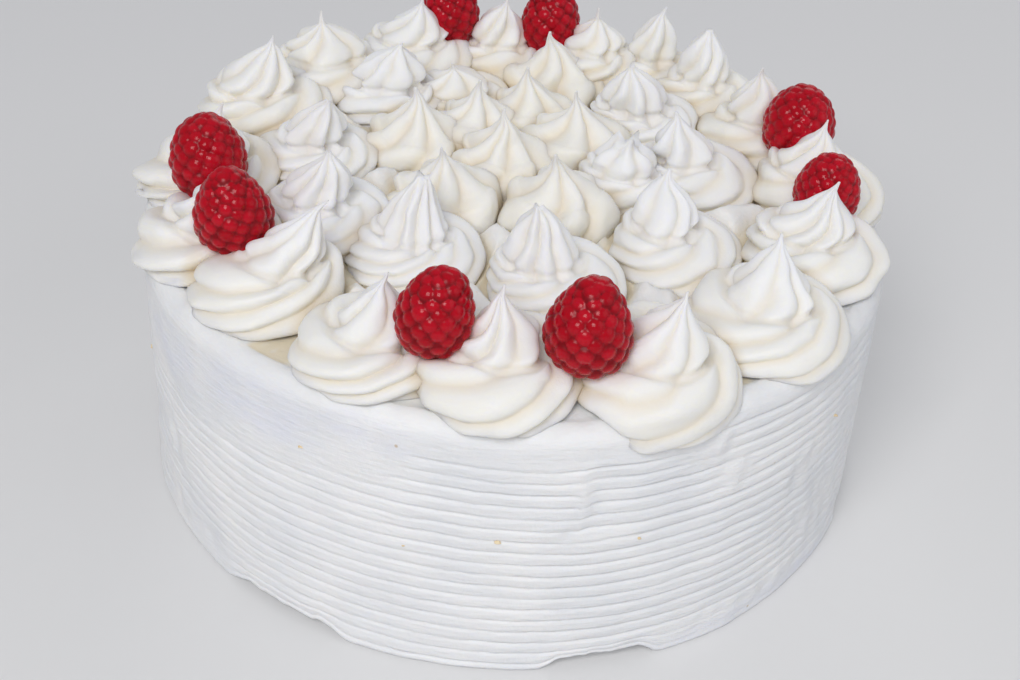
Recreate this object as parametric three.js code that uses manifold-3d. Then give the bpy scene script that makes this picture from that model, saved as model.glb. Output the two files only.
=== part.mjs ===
// A round layer cake, iced all over: a combed side, piped star swirls over the whole top,
// and berries pressed in pairs between the swirls of the rim.
// Millimetres, +Z up. The origin is the centre of the base, and the front faces -Y.

import * as THREE from "three";
import { mergeVertices } from "three/addons/utils/BufferGeometryUtils.js";
import Module from "manifold-3d";

// The cake
const CAKE_RADIUS = 106;
const CAKE_HEIGHT = 79.6;
const CAKE_SEGMENTS = 36;
const TOP_EDGE_ROUND = 4;
const TOP_EDGE_STEPS = 3;

// The comb's grooves round its side
const GROOVE_COUNT = 18;
const GROOVE_PITCH = 3.9;
const GROOVE_DEPTH = 0.9;
const LOWEST_GROOVE = 2.3;

// The piped swirls: ridges of the star tip, how deep they are on the coil and on the drawn-up tip,
// how far they wind, and how far the coil drops in its turn
const RIDGE_COUNT = 6;
const COIL_RIDGE = 0.07;
const TIP_RIDGE = 0.34;
const WIND_TURN = THREE.MathUtils.degToRad(170);
const COIL_DROP = 0.1;
const PIECE_GAP = 0.3;

// A swirl's outline, as parts of its radius and height: a coil of two ridges, then the drawn-up tip
const SWIRL_OUTLINE = [
  [0, 0], [0.88, 0], [1, 0.12], [0.91, 0.23], [0.94, 0.34], [0.7, 0.45], [0.53, 0.56],
  [0.42, 0.7], [0.27, 0.83], [0.12, 0.94], [0, 1],
];
const TIP_START = 0.45;

// Swirls on the rim: bearing in degrees from +X, distance from the middle, radius, height,
// and how far the tip leans to +X and +Y
const RIM_SWIRLS = [
  [-91, 89, 22, 27, 0, 6],
  [-66, 90, 22, 27, 3, 3],
  [-41, 88, 22, 27, 4, 8],
  [-17, 88, 21, 27, -1, 3],
  [7, 88, 20, 27, -4, 2],
  [31, 86, 20, 26, -1, -4],
  [50, 89, 18, 26, -3, -3],
  [63, 92, 16, 26, -3, -3],
  [75, 85, 17, 26, -2, -4],
  [95, 87, 20, 27, 1, -7],
  [114, 87, 20, 26, 2, -5],
  [134, 89, 20, 26, 1, -3],
  [153, 89, 21, 26, 3, -1],
  [179, 89, 21, 26, 5, 0],
  [202, 90, 21, 27, 6, -3],
  [222, 87, 21, 26, 11, 2],
  [245, 88, 21, 26, 6, 0],
];

// Swirls inside the rim: place on the top, radius, height and the tip's lean
const TOP_SWIRLS = [
  [-26, -36, 20, 26, -2, 5],
  [10, -45, 21, 26, -4, 2],
  [44, -25, 21, 26, -3, 5],
  [53, 15, 20, 25, -8, -3],
  [31, 8, 15, 21, 0, -5],
  [38, 49, 19, 25, -5, -6],
  [17, 28, 18, 25, -1, -4],
  [12, -9, 19, 26, -1, -5],
  [-5, 15, 18, 25, 0, -4],
  [-20, -7, 18, 25, -2, -6],
  [-55, -20, 20, 25, 3, -1],
  [-60, 15, 20, 25, 5, -5],
  [-42, 54, 19, 25, 4, -5],
  [-31, 25, 19, 25, 0, -4],
  [10, 70, 18, 25, -2, -5],
  [-20, 59, 18, 20, -3, -7],
  [-14, 36, 15, 24, 1, -5],
  [3, 47, 15, 24, -2, -7],
];

// Berries on the rim: bearing in degrees, distance from the middle, width, length,
// and the tilt of the point in degrees to +X and +Y
const BERRY_LIFT = 19.4;
const BERRY_BUMP = 0.8;
const BERRY_ROUND = 14;
const BERRY_RINGS = 10;
const BERRY_TAPER = 0.2;
const BERRIES = {
  berry_front_left: [-101.6, 86.4, 20.6, 24, -4, 2],
  berry_front_right: [-77.2, 88.6, 21.8, 25.8, 7, 4],
  berry_left_front: [-149.5, 85.5, 21, 25, -6, -4],
  berry_left_back: [-170.1, 86.5, 21, 25, -5, 5],
  berry_right_front: [-6.4, 86.7, 21, 25, 6, -4],
  berry_right_back: [18.5, 86.5, 21, 25, 4, 5],
  berry_back_left: [106.2, 90, 21, 25, -5, 5],
  berry_back_right: [85.1, 86.6, 21, 25, 5, 4],
};

const ICING = new THREE.MeshStandardMaterial({ color: 0xe6e2dd, roughness: 0.6, metalness: 0 });
const CREAM = new THREE.MeshStandardMaterial({ color: 0xece4d6, roughness: 0.55, metalness: 0 });
const BERRY = new THREE.MeshStandardMaterial({ color: 0xa8182b, roughness: 0.3, metalness: 0 });

const wasm = await Module();
wasm.setup();

// Keeps only the positions of a geometry, with shared corners merged and collapsed triangles dropped
function closed(geometry) {
  geometry.deleteAttribute("normal");
  geometry.deleteAttribute("uv");
  const merged = mergeVertices(geometry, 1e-4);
  const corners = Array.from(merged.index.array);
  const kept = [];
  for (let i = 0; i < corners.length; i += 3) {
    const [a, b, c] = corners.slice(i, i + 3);
    if (a !== b && b !== c && c !== a) kept.push(a, b, c);
  }
  merged.setIndex(kept);
  return merged;
}

// Turns an outline of radius and height about Z
function turned(outline, segments) {
  const points = outline.map(([radius, height]) => new THREE.Vector2(radius, height));
  return closed(new THREE.LatheGeometry(points, segments).rotateX(Math.PI / 2));
}

// Moves every vertex of a geometry by a function of its place
function reshape(geometry, move) {
  const places = geometry.getAttribute("position");
  const place = new THREE.Vector3();
  for (let i = 0; i < places.count; i += 1) {
    place.fromBufferAttribute(places, i);
    move(place);
    places.setXYZ(i, place.x, place.y, place.z);
  }
  return geometry;
}

function toSolid(geometry) {
  const vertProperties = new Float32Array(geometry.getAttribute("position").array);
  const triVerts = new Uint32Array(geometry.index.array);
  return new wasm.Manifold(new wasm.Mesh({ numProp: 3, vertProperties, triVerts }));
}

function toGeometry(solid) {
  const mesh = solid.getMesh();
  const geometry = new THREE.BufferGeometry();
  geometry.setAttribute("position", new THREE.BufferAttribute(mesh.vertProperties, 3));
  geometry.setIndex(Array.from(mesh.triVerts));
  return geometry;
}

function named(name, geometry, material, place) {
  const mesh = new THREE.Mesh(geometry, material);
  mesh.name = name;
  mesh.position.copy(place);
  return mesh;
}

// A place at a bearing and a distance from the cake's axis
function onRing(bearing, distance, height) {
  const angle = THREE.MathUtils.degToRad(bearing);
  return new THREE.Vector3(distance * Math.cos(angle), distance * Math.sin(angle), height);
}

// The iced cake: grooves up the side, a rounded top edge and a flat top
function cakeOutline() {
  const outline = [[0, 0], [CAKE_RADIUS - GROOVE_DEPTH / 2, 0]];
  for (let i = 0; i < GROOVE_COUNT; i += 1) {
    const height = LOWEST_GROOVE + i * GROOVE_PITCH;
    outline.push([CAKE_RADIUS - GROOVE_DEPTH, height]);
    outline.push([CAKE_RADIUS, height + GROOVE_PITCH / 2]);
  }
  for (let i = 0; i <= TOP_EDGE_STEPS; i += 1) {
    const angle = (Math.PI / 2) * (i / TOP_EDGE_STEPS);
    outline.push([
      CAKE_RADIUS - TOP_EDGE_ROUND * (1 - Math.cos(angle)),
      CAKE_HEIGHT - TOP_EDGE_ROUND * (1 - Math.sin(angle)),
    ]);
  }
  outline.push([0, CAKE_HEIGHT]);
  return outline;
}

// A swirl's radius, as a part of its full radius, at a part of its height
function outlineRadius(part) {
  const sides = SWIRL_OUTLINE.slice(1);
  const above = sides.findIndex(([, height]) => height >= part);
  if (above <= 0) return sides[0][0];
  const [lowRadius, low] = sides[above - 1];
  const [highRadius, high] = sides[above];
  return THREE.MathUtils.mapLinear(part, low, high, lowRadius, highRadius);
}

// Where the boundary with each neighbour lies: its direction, and its distance from the swirl's axis
function boundaries(swirl, swirls) {
  const walls = [];
  for (const other of swirls) {
    const apart = other.foot.clone().sub(swirl.foot);
    const distance = apart.length();
    if (other === swirl || distance > swirl.radius + other.radius) continue;
    const share = (swirl.radius ** 2 - other.radius ** 2) / (2 * distance);
    walls.push({ towards: apart.normalize(), reach: distance / 2 + share - PIECE_GAP / 2 });
  }
  return walls;
}

// A piped swirl: a coil of winding ridges drawn up into a leaning tip, pressed flat against its neighbours
function swirlGeometry(swirl, swirls, start) {
  const outline = SWIRL_OUTLINE.map(([radius, part]) => [radius, part * swirl.height]);
  const walls = boundaries(swirl, swirls);
  return reshape(turned(outline, 2 * RIDGE_COUNT), (place) => {
    const part = place.z / swirl.height;
    const angle = Math.atan2(place.x, -place.y);
    const wound = start + angle + WIND_TURN * part;
    const drop = COIL_DROP * (0.5 + angle / (2 * Math.PI));
    const depth = part < TIP_START ? COIL_RIDGE : TIP_RIDGE;
    const ridge = 1 - depth * (0.5 - 0.5 * Math.cos(RIDGE_COUNT * angle));
    const onAxis = Math.hypot(place.x, place.y) < 1e-6;
    const radius = onAxis ? 0 : swirl.radius * ridge * outlineRadius(Math.min(part + drop, 0.98));
    place.x = radius * Math.sin(wound) + swirl.leanX * part ** 2;
    place.y = -radius * Math.cos(wound) + swirl.leanY * part ** 2;
    for (const { towards, reach } of walls) {
      const beyond = place.x * towards.x + place.y * towards.y - reach;
      if (beyond > 0) place.addScaledVector(towards, -beyond);
    }
  });
}

// A berry: an egg shape with its point up, its surface raised in alternate beads
function berryGeometry({ width, length, tiltX, tiltY }) {
  const ball = closed(new THREE.SphereGeometry(1, BERRY_ROUND, BERRY_RINGS).rotateX(Math.PI / 2));
  reshape(ball, (place) => {
    const column = Math.round(Math.atan2(place.y, place.x) / (2 * Math.PI / BERRY_ROUND));
    const ring = Math.round(Math.acos(THREE.MathUtils.clamp(place.z, -1, 1)) / (Math.PI / BERRY_RINGS));
    const bead = (column + ring) % 2 === 0 ? 0 : -BERRY_BUMP;
    const taper = 1 - BERRY_TAPER * Math.max(place.z, 0);
    place.set(
      place.x * taper * (width / 2 + bead),
      place.y * taper * (width / 2 + bead),
      place.z * (length / 2 + bead),
    );
  });
  return ball.applyMatrix4(new THREE.Matrix4().makeRotationFromEuler(new THREE.Euler(-tiltY, tiltX, 0)));
}

// The hollow that a berry presses into the cream around it
const HOLLOW_ROUND = 10;
const HOLLOW_RINGS = 6;
const HOLLOW_EASE = 1.09;
function berryHollow(berry) {
  const ball = closed(new THREE.SphereGeometry(1, HOLLOW_ROUND, HOLLOW_RINGS).rotateX(Math.PI / 2));
  const across = (berry.width / 2) * HOLLOW_EASE + PIECE_GAP;
  ball.scale(across, across, (berry.length / 2) * HOLLOW_EASE + PIECE_GAP);
  ball.rotateX(-berry.tiltY).rotateY(berry.tiltX);
  return ball.translate(berry.middle.x, berry.middle.y, berry.middle.z);
}

// Cuts the berries' hollows out of a swirl, keeping its largest piece
function pressed(geometry, swirl, berries) {
  const near = berries.filter((berry) => {
    const apart = Math.hypot(berry.middle.x - swirl.foot.x, berry.middle.y - swirl.foot.y);
    return apart < swirl.radius + berry.width;
  });
  if (near.length === 0) return geometry;
  let solid = toSolid(geometry);
  for (const berry of near) {
    const hollow = berryHollow(berry).translate(-swirl.foot.x, -swirl.foot.y, -swirl.foot.z);
    solid = solid.subtract(toSolid(hollow));
  }
  const pieces = solid.decompose();
  pieces.sort((one, other) => other.volume() - one.volume());
  return toGeometry(pieces[0]);
}

function numbered(stem, index) {
  return `${stem}_${String(index + 1).padStart(2, "0")}`;
}

const berries = Object.entries(BERRIES).map(([name, [bearing, ring, width, length, tiltX, tiltY]]) => ({
  name,
  middle: onRing(bearing, ring, CAKE_HEIGHT + BERRY_LIFT),
  width,
  length,
  tiltX: THREE.MathUtils.degToRad(tiltX),
  tiltY: THREE.MathUtils.degToRad(tiltY),
}));

const rimSwirls = RIM_SWIRLS.map(([bearing, ring, radius, height, leanX, leanY], index) => ({
  name: numbered("rim_swirl", index),
  foot: onRing(bearing, ring, CAKE_HEIGHT + PIECE_GAP),
  radius,
  height,
  leanX,
  leanY,
}));

const topSwirls = TOP_SWIRLS.map(([x, y, radius, height, leanX, leanY], index) => ({
  name: numbered("top_swirl", index),
  foot: new THREE.Vector3(x, y, CAKE_HEIGHT + PIECE_GAP),
  radius,
  height,
  leanX,
  leanY,
}));

const cake = new THREE.Group();
cake.add(named("iced_cake", turned(cakeOutline(), CAKE_SEGMENTS), ICING, new THREE.Vector3()));

const swirls = [...rimSwirls, ...topSwirls];
swirls.forEach((swirl, index) => {
  const geometry = swirlGeometry(swirl, swirls, index);
  cake.add(named(swirl.name, pressed(geometry, swirl, berries), CREAM, swirl.foot));
});

for (const berry of berries) {
  cake.add(named(berry.name, berryGeometry(berry), BERRY, berry.middle));
}

export default cake;
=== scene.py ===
"""An iced layer cake with piped star swirls and red berries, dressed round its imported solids."""
import math
import random

import bmesh
import bpy
import numpy as np
from mathutils import Matrix, Vector, noise
from mathutils.geometry import interpolate_bezier


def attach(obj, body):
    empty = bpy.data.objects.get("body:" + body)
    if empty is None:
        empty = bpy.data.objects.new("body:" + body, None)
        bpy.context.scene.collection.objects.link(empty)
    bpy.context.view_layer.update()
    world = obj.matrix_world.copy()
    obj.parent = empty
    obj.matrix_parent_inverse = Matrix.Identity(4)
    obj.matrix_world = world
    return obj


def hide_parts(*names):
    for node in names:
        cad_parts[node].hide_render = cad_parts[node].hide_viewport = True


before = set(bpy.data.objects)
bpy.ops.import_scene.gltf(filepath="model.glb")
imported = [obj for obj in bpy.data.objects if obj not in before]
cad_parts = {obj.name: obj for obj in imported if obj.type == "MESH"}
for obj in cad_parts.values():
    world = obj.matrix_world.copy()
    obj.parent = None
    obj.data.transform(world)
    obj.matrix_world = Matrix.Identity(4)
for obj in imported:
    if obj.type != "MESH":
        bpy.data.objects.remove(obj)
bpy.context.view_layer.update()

MM = 0.001
MERGE_DISTANCE = 0.001

# Cake, in millimetres
CAKE_RADIUS = 106.0
CAKE_HEIGHT = 79.6
EDGE_ROUND = 5.0
EDGE_STEPS = 8
AROUND_STEPS = 480
# Rings under the foot: inset from the radius, height
FOOT_RINGS = ((14, 0), (6, 0), (2.5, 0), (0.9, 0.05), (0.2, 0.5))
# Rings of the top: insets from the rounded edge, then even steps towards the middle
EDGE_RINGS = (0.6, 1.4, 2.4, 3.6, 5.2, 7.2)
FIRST_TOP_RING = CAKE_RADIUS - 15
TOP_RING_STEP = 2.2
TOP_RINGS = 40

# Comb grooves round the side, in millimetres
GROOVE_COUNT = 19
GROOVE_PITCH = 3.9
LOWEST_GROOVE = 2.3
# Section of a groove: height from its middle, share of its depth
GROOVE_SECTION = (
    (-1.15, 0.0), (-0.82, 0.08), (-0.36, 0.52), (0.0, 1.0), (0.36, 0.52), (0.82, 0.08), (1.15, 0.0),
)
# How deep the grooves are: bearing in degrees, depth in millimetres
GROOVE_DEPTHS = (
    (-180, 0.4), (-150, 0.32), (-130, 0.4), (-115, 0.52), (-95, 0.62), (-70, 0.72), (-45, 0.85),
    (0, 1.0), (60, 0.9), (120, 0.65), (180, 0.4),
)
# How far up the combed ridges reach: bearing in degrees, height in millimetres
COMB_REACH = (
    (-180, 60), (-150, 50), (-139, 50), (-125, 53), (-113, 56), (-106, 58), (-101, 68), (-66, 70),
    (-52, 79), (-20, 79), (40, 74), (80, 69), (120, 73), (150, 67), (180, 60),
)
COMB_FADE = (-2.0, 2.5)
# Seam where the comb was set down again and the ridges step up: its bearing, how the step comes and goes in
# degrees past it, its heights, how far the ridges step and how far the icing bulges there
COMB_SEAM = -78.0
SEAM_STARTS = (-1.2, 0.4)
SEAM_ENDS = (0.4, 16)
SEAM_FOOT = (40, 50)
SEAM_HEAD = (66, 74)
SEAM_STEP = 0.9
SEAM_BULGE = 2.0
# The ridges ripple a little, and more past these bearings
RIPPLE_BEARINGS = (-60, -35)
RIPPLE_CALM = 0.15
RIPPLE_ADDED = 0.3

# Patches fade from this share of their size to their edge, and stretches round the cake from this share
PATCH_FADE = (0.35, 1.0)
STRETCH_FADE = (0.6, 1.0)
# Smears that wiped the ridges away: bearing, height, half width in degrees, half height
SMEARS = (
    (-55, 58, 5, 9), (-40, 45, 6, 12), (-33, 24, 10, 18), (-24, 52, 7, 16), (-45, 3, 34, 9),
    (-60.5, 67, 7, 8), (-78.4, 60, 1.7, 11), (-80.2, 47, 1.8, 4), (-143, 4, 18, 15), (-148, 30, 7, 16),
    (28, 50, 9, 13), (74, 18, 12, 12), (131, 46, 8, 17), (168, 12, 14, 9),
)
SMEAR_WIPE = 0.92
# Where the foot of the icing lifts: bearing, half width in degrees, lift in millimetres
FOOT_LIFTS = ((-122, 12, 2.2), (-73.5, 9.5, 3.4), (-12, 9, 1.4), (66, 11, 1.8), (142, 13, 2.0))
LIFT_SHARE = 0.9
LIFT_TUCK = 0.8
FOOT_SPREAD = 0.3
# Thin icing: bearing, height, half width in degrees, half height
THIN_ICING = (
    (-126, 68, 17, 13), (-108, 72, 12, 8), (-146, 64, 12, 13), (52, 73, 12, 7), (158, 71, 13, 8),
    (-44, 2, 30, 5),
)
THIN_MEAN = 0.6
# Sponge that shows through at the top edge: bearing, half width in degrees
BARE_EDGES = (
    (-126.5, 5), (-111.3, 4.5), (-153.2, 3), (-54.2, 4), (24, 2.6), (104, 3.0), (171, 2.4),
)
BARE_MEAN = 0.85
# Top of the cake, in millimetres: its low lip, its bed of icing, mounds of cream between the swirls
LIP_DEPTH = 0.5
BED_HEIGHT = 1.0
MOUND_HEIGHT = 6.0
# Share of the bed's painted tan shade that the mounds lose
MOUND_PALING = 0.9

# Where one part of the icing gives way to the next: start and end, in millimetres
SIDE_STARTS = (CAKE_RADIUS - 9, CAKE_RADIUS - 3)
RIDGES_START = (0, 6)
RIDGES_END = (CAKE_HEIGHT - 9, CAKE_HEIGHT - 2)
SMEARS_START = (2, 9)
FOOT_ENDS = (0, 9)
TOP_STARTS = (CAKE_HEIGHT - 1, CAKE_HEIGHT)
ROLL_STARTS = (CAKE_HEIGHT - 4, CAKE_HEIGHT)
GRAIN_STARTS = (CAKE_HEIGHT - 2, CAKE_HEIGHT)
LIP_ENDS = (EDGE_ROUND, EDGE_ROUND + 1.6)
BED_ENDS = (CAKE_RADIUS - 28, CAKE_RADIUS - 14)
BARE_STARTS = (CAKE_RADIUS - 24, CAKE_RADIUS - 16)
MOUND_STARTS = (-1.5, 4.5)
PALING_STARTS = (0.3, 3.0)

# Unevenness: strength, size of its lumps in millimetres, how flat they are, where 1 is round
REACH_WANDER = (2.0, 23, 1)
DEPTH_SLOW = (0.5, 17, 3)
DEPTH_FINE = (0.3, 4, 1)
RIDGE_WAVE = (0.35, 19, 1)
RIDGE_RIPPLE = (1.0, 6, 1)
SIDE_BULGE = (0.9, 42, 1)
SIDE_DENT = (0.35, 11, 1)
SIDE_GRAIN = (0.12, 3.5, 1)
SMEAR_LUMP = (0.9, 5, 0.4)
SMEAR_GRAIN = (0.5, 2.5, 0.6)
THIN_SLOW = (0.5, 12, 3)
THIN_FINE = (0.3, 4, 2)
BARE_FINE = (0.5, 3, 1)
SWIRL_SWAY = (1.5, 9, 1)
SWIRL_GRAIN = (0.3, 3.5, 1)
# Unevenness that is the same at every height: strength, size of its lumps, the slice of the noise it takes
RIDGE_SWEEP = (0.7, 55, 0)
FOOT_SLOW = (0.3, 16, 40)
FOOT_LUMP = (0.3, 6, 5)
FOOT_GRAIN = (0.25, 2.5, 5)
TOP_ROLL = (0.5, 12, 20)
TOP_GRAIN = (0.4, 4, 33)
MOUND_LUMP = (0.5, 7, 60)
BED_GRAIN = (0.8, 5, 9)
# How far apart two readings of the noise are, so that they don't follow each other
WAVE_APART = 90
DENT_APART = 70
SWAY_APART = 50
SWIRLS_APART = 40

# Crumbs caught in the icing of the side: bearing in degrees, height and size in millimetres
CRUMBS = (
    (-89.5, 45, 0.5), (-70, 44.2, 0.5), (-102.4, 39.4, 0.35), (-118, 61, 0.5), (-33, 55, 0.6),
    (15, 30, 0.8), (48, 61, 0.6), (97, 24, 0.9), (140, 52, 0.6), (-168, 37, 0.7),
)
# A crumb's shape: its stretch each way, how uneven it is, and how far towards the axis it is pressed
CRUMB_STRETCH = (1.6, 1.1, 0.7)
CRUMB_UNEVEN = 0.6
CRUMB_SINK = Vector((0.998, 0.998, 1.0))
CRUMB_ROUNDS = 3

# Rim swirls: bearing in degrees, distance, radius, height, lean to +X and +Y, hang over the edge, peak
RIM_SWIRLS = (
    (-91, 86.5, 22, 27, 0, 3, 1.0, "fin"), (-66, 90, 22, 26.5, 6, 2, 7.0, "broad"),
    (-41, 88, 22, 27, 1, 7, 1.5, "broad"), (-17, 85.5, 20, 27, 4, 2.5, 1.0, "slant"),
    (7, 88, 20, 27, 0, 2, 1.5, "slant"), (31, 86, 20, 29, -2, -4, 1.0, "kiss"),
    (50, 89, 18, 28.5, -1, -3, 1.0, "bud"), (63, 92, 16, 29, 1, -3, 2.0, "kiss"),
    (75, 85, 17, 28, 0, -4, 0.5, "dome"), (95, 87, 20, 28, 0, -7, 1.5, "kiss"),
    (114, 87, 20, 29, 3, -5, 1.0, "slant"), (134, 89, 20, 28.5, -2, -3, 2.0, "dome"),
    (153, 89, 21, 29.5, 4, -1, 1.0, "slant"), (179, 89, 21.5, 26, 5, 0, 1.5, "flap"),
    (202, 89, 21.5, 27, 6, -3, 1.0, "flap"), (220.5, 84, 21, 29, 16, 2, 0.5, "broad"),
    (247, 85.5, 21, 26.5, 4, -1, 0.5, "broad"),
)
# Top swirls: x, y, radius, height, lean to +X and +Y, in millimetres, and peak
TOP_SWIRLS = (
    (-26, -36, 20, 26, 1, 5, "torn"), (12, -45, 20, 26, -6, 2, "split"),
    (44.5, -27.5, 19, 26, -4, 8.5, "drop"), (53, 15, 20, 26.5, -9, -3, "drop"),
    (31, 8, 15, 22, 0, -5, "crown"), (38, 49, 19, 25.5, -5, -6, "lobed"),
    (17, 28, 17, 25.5, -1, -4, "tent"), (12, -9, 17.8, 26, -1, -5, "tent"),
    (-5, 15, 16.8, 25, 0, -4, "tent"), (-20, -7, 17.2, 25, -1, -6, "tent"),
    (-53, -20, 21, 25.5, 2, -1, "blades"), (-60, 15, 20, 25, 5, -5, "blades"),
    (-42, 54, 19, 25, 4, -5, "lobed"), (-31, 25, 17.8, 25, 0, -4, "tent"),
    (10, 70, 18, 25, -2, -5, "tent"), (-20, 59, 18, 18, -3, -7, "dome"),
    (-14, 36, 15, 24, 1, -5, "tent"), (3, 47, 15, 24, -2, -7, "tent"),
)
TOP_SPREAD = 0.97
# Peaks: count of ridges, how far they wind round the ring and up the peak in degrees, depth of the creases
# in millimetres and the share of it on the ring, how petal-like the ridges are, shoulder out and up as
# shares of the radius and height, how full the slope is and its bulge, neck out and up, tip's half width,
# how torn it is, depth of the valley behind the peak, the peak's shift, warmth as painted shade and own
# tone
PEAKS = {
    "fin": (6, 140, 55, 2.5, 0.8, 0.0, 0.52, 0.46, 0.5, 0.21, 0.05, 0.90, 0.3, 0.0, 2.2, 0.0, 0.4),
    "broad": (6, 145, 55, 2.5, 0.8, 0.0, 0.54, 0.46, 0.35, 0.23, 0.06, 0.89, 0.3, 0.0, 2.2, 0.0, 0.4),
    "flap": (6, 120, 55, 3.8, 1.0, 0.0, 0.54, 0.46, 0.35, 0.23, 0.06, 0.89, 0.3, 0.0, 2.2, 0.0, 0.4),
    "slant": (6, 150, 50, 2.5, 0.9, 0.0, 0.58, 0.48, 0.5, 0.30, 0.06, 0.90, 0.3, 0.0, 2.0, -0.2, 0.5),
    "kiss": (6, 130, 45, 2.3, 0.8, 0.2, 0.50, 0.42, 0.8, 0.30, 0.09, 0.88, 0.3, 0.0, 1.6, -0.12, 0.7),
    "dome": (6, 130, 40, 2.2, 0.8, 0.2, 0.62, 0.46, 1.0, 0.42, 0.06, 0.85, 0.3, 0.0, 1.0, 0.0, 0.7),
    "bud": (6, 130, 45, 2.3, 0.8, 0.2, 0.52, 0.42, 0.9, 0.32, 0.13, 0.94, 1.2, 0.0, 1.4, -0.05, 0.6),
    "tent": (6, 40, 25, 3.8, 1.0, 0.0, 0.70, 0.47, 0.2, 0.13, 0.07, 0.88, 0.4, 0.0, 0.0, 0.0, 0.9),
    "drop": (6, 180, 35, 2.2, 0.7, 0.2, 0.52, 0.46, 0.7, 0.36, 0.09, 0.91, 0.5, 0.0, 2.4, -0.2, 0.2),
    "lobed": (7, 160, 20, 2.8, 0.6, 0.2, 0.58, 0.46, 1.0, 0.42, 0.11, 0.93, 0.8, 0.1, 2.2, -0.14, 0.0),
    "blades": (7, 165, 18, 3.0, 0.5, 0.2, 0.48, 0.44, 0.9, 0.33, 0.10, 0.93, 0.7, 0.3, 2.2, -0.16, 0.0),
    "split": (7, 170, 20, 2.8, 0.5, 0.2, 0.54, 0.47, 0.6, 0.32, 0.13, 0.94, 1.5, 0.4, 2.2, -0.2, 0.1),
    "torn": (8, 160, 15, 2.8, 0.5, 0.2, 0.54, 0.46, 0.4, 0.24, 0.16, 0.95, 2.0, 0.5, 2.0, -0.14, 0.0),
    "crown": (7, 120, 10, 2.0, 0.5, 0.2, 0.66, 0.52, 0.6, 0.30, 0.36, 0.87, 3.2, 1.2, 1.0, -0.1, 0.1),
}
# What the numbers of a peak are called, and by what share each differs from swirl to swirl
PEAK_SPREADS = {
    "ridges": 0.0, "ring_wind": 0.1, "peak_wind": 0.3, "crease": 0.15, "ring_share": 0.0, "petal": 0.0,
    "out": 0.06, "up": 0.08, "full": 0.15, "bulge": 0.15, "neck_out": 0.1, "neck_up": 0.0, "tip": 0.15,
    "torn": 0.0, "valley": 0.0, "shift": 0.0, "tone_and_shade": 0.0,
}
TONE_SPREAD = 0.15
SWIRL_SEED = 5
SEED_MOST = 50.0

# Section of one swirl: its foot, its belly and the handles of its curve, as shares of the radius and height
SWIRL_FOOT = (0.93, 0.0)
SWIRL_BELLY = (1.1, 0.16)
BELOW_SHOULDER = (0.3, -0.03)
ABOVE_SHOULDER = (-0.14, 0.02)
FULLNESS = 0.12
NECK_HANDLE = -0.2
PINCH = (0.5, 0.3)
POINT = (0.1, 0.7)
WIDEST_FULL_TIP = 2.2
SHOULDER_STEPS = 34
SLOPE_STEPS = 24
NECK_STEPS = 8
COLUMNS = 144
# Ridges and creases of one swirl
RING_EASE = 1.2
PEAK_EASE = 2.0
UNEVEN_ONCE = 0.17
UNEVEN_TWICE = 0.1
CREASE_ROUND = 0.2
CREASE_MOST = 0.34
CREASE_UNEVEN = 0.3
CREST_WIDTH = 0.9
CREST_TUCK = 0.9
TUCK_STARTS = 0.1
PEAK_STARTS = (SHOULDER_STEPS - 8, SHOULDER_STEPS + 2)
TIP_SMOOTHS = (0.86, 1.0)
TIP_SMOOTH = 0.8
# Valley round the foot of the peak, with its deepest bearing in degrees
VALLEY_BEARING = 15.0
VALLEY_WIDTH = 2.1
VALLEY_MEAN = 0.6
VALLEY_LEAST = 0.5
VALLEY_SHADE = 0.6
# Torn tip, shift and bow of the peak
TEAR_COUNT = 3
TEAR_HEIGHT = 1.6
TEAR_STARTS = (0.8, 1.0)
SHIFT_STARTS = (0.3, 0.55)
BOW_POWER = 1.6
# How a swirl sinks into the cake, hangs past its edge, tilts and is pressed to its side, in millimetres
SWIRL_SINK = 0.3
HANG_STARTS = (CAKE_RADIUS - 7, CAKE_RADIUS + 4)
HANG_EASES = (0, 14)
HANG_EASED = 0.6
TILT_ENDS = (CAKE_RADIUS - 38, CAKE_RADIUS - 16)
TILT_SHARE = 0.65
PRESS_HANGS = (1.5, 6.0)
PRESS_ENDS = (0, 8)
PRESS_SHARE = 0.65
PRESS_GAP = 0.5
# Painted light and shade of a swirl: cooler, as if lit, above a share of its height and warmer below, and
# painted shade deeper where it is creased or pressed against another swirl; berry juice stains where it is
# stained
TONE_FALL = 1.1
TONE_LEVEL = 0.48
CREVICE_LEAST = 0.55
CONTACT_ENDS = (3, 16)
CONTACT_GAPS = (-3, 4)
NEXT_SWIRL = 1.0
JUICE_REACH = 3.0

# Berries: bearing in degrees, ring, width, length in millimetres, tilts in degrees to +X and +Y,
# how much deeper than the others it sits, how much narrower its point is, count of beads
BERRIES = {
    "berry_front_left": (-101.6, 86.4, 19.0, 24.6, 14, 2, 0.0, 0.24, 106),
    "berry_front_right": (-77.2, 88.6, 20.8, 25.8, 6, 4, 0.0, 0.34, 112),
    "berry_left_front": (-149.5, 85.5, 20.2, 25.0, -6, -4, 0.5, 0.36, 126),
    "berry_left_back": (-170.1, 86.5, 21.0, 25.0, -5, 5, 1.5, 0.16, 112),
    "berry_right_front": (-6.4, 86.7, 18.2, 22.0, 6, -4, 2.5, 0.14, 124),
    "berry_right_back": (18.5, 86.5, 21.0, 24.0, 4, 5, 2.0, 0.12, 124),
    "berry_back_left": (106.2, 90.0, 18.0, 24.0, -5, 5, -0.5, 0.1, 104),
    "berry_back_right": (85.1, 86.6, 19.0, 24.0, 5, 4, 1.5, 0.1, 100),
}
BERRY_LIFT = 19.4
BERRY_ROUNDS = 6
BERRY_CORE = 0.3
# Beads of a berry: size, how deep they sit, how uneven their size and place are, turn from one to the next
BEAD_SHARE = 1.58
BEAD_INSET = 0.9
BEAD_UNEVEN = 0.07
BEAD_WANDER = 0.07
BEAD_TURN = math.radians(137.508)

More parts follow.
